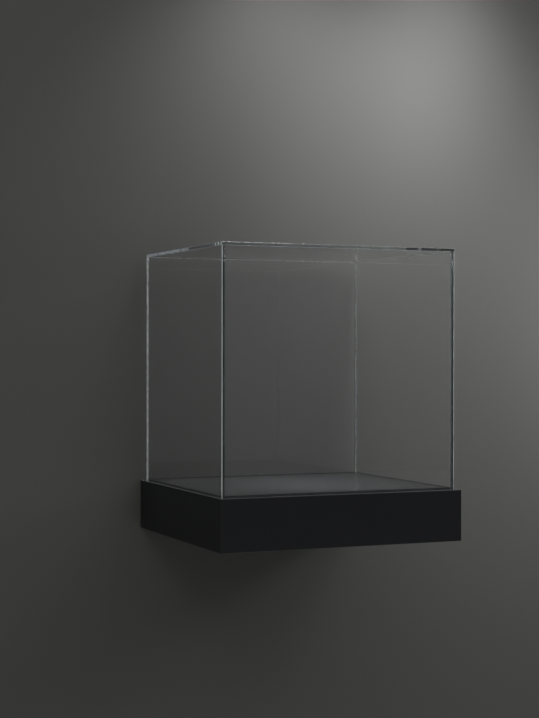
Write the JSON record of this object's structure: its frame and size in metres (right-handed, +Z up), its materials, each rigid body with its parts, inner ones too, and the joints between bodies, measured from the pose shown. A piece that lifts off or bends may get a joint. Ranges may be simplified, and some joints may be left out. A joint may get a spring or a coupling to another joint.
{
  "type": "wall display case",
  "caption": "Wall-hung display case: a clear box cover that lifts off a black mitred console, with a raised deck inside and a hook rail pair behind.",
  "frame": {"origin": "on the wall plane, at the middle of the wall rail's row of screw holes", "axes": "+Y into the wall, so the front of the case faces -Y; +Z up; +X to the right as seen from the front"},
  "size_m": [0.4, 0.365, 0.453],
  "materials": {
    "clear_acrylic": "polished",
    "black_board": "satin",
    "black_deck": "satin",
    "bare_wood": "matte",
    "rail_aluminium": "satin",
    "screw_steel": "satin",
    "bumper_rubber": "matte"
  },
  "bodies": {
    "wall_rail": {"wall_rail": "rail_aluminium"},
    "console": {"deck_panel": "black_deck", "top_board": "black_board", "bottom_board": "black_board", "front_board": "black_board", "left_side_board": "black_board", "right_side_board": "black_board", "rear_board": "bare_wood", "left_rib": "bare_wood", "right_rib": "bare_wood", "corner_blocks": "bare_wood", "rib_screws": "screw_steel", "bumpers": "bumper_rubber", "hanging_rail": "rail_aluminium", "rail_screws": "screw_steel"},
    "cover": {"cover_top": "clear_acrylic", "cover_front": "clear_acrylic", "cover_back": "clear_acrylic", "cover_left": "clear_acrylic", "cover_right": "clear_acrylic"}
  },
  "joints": [
    {"name": "console_lift", "type": "slide", "parent": "wall_rail", "child": "console", "axis": [0, 0, 1], "range_m": [0, 0.0095]},
    {"name": "cover_lift", "type": "slide", "parent": "console", "child": "cover", "axis": [0, 0, 1], "range_m": [0, 0.4]}
  ]
}
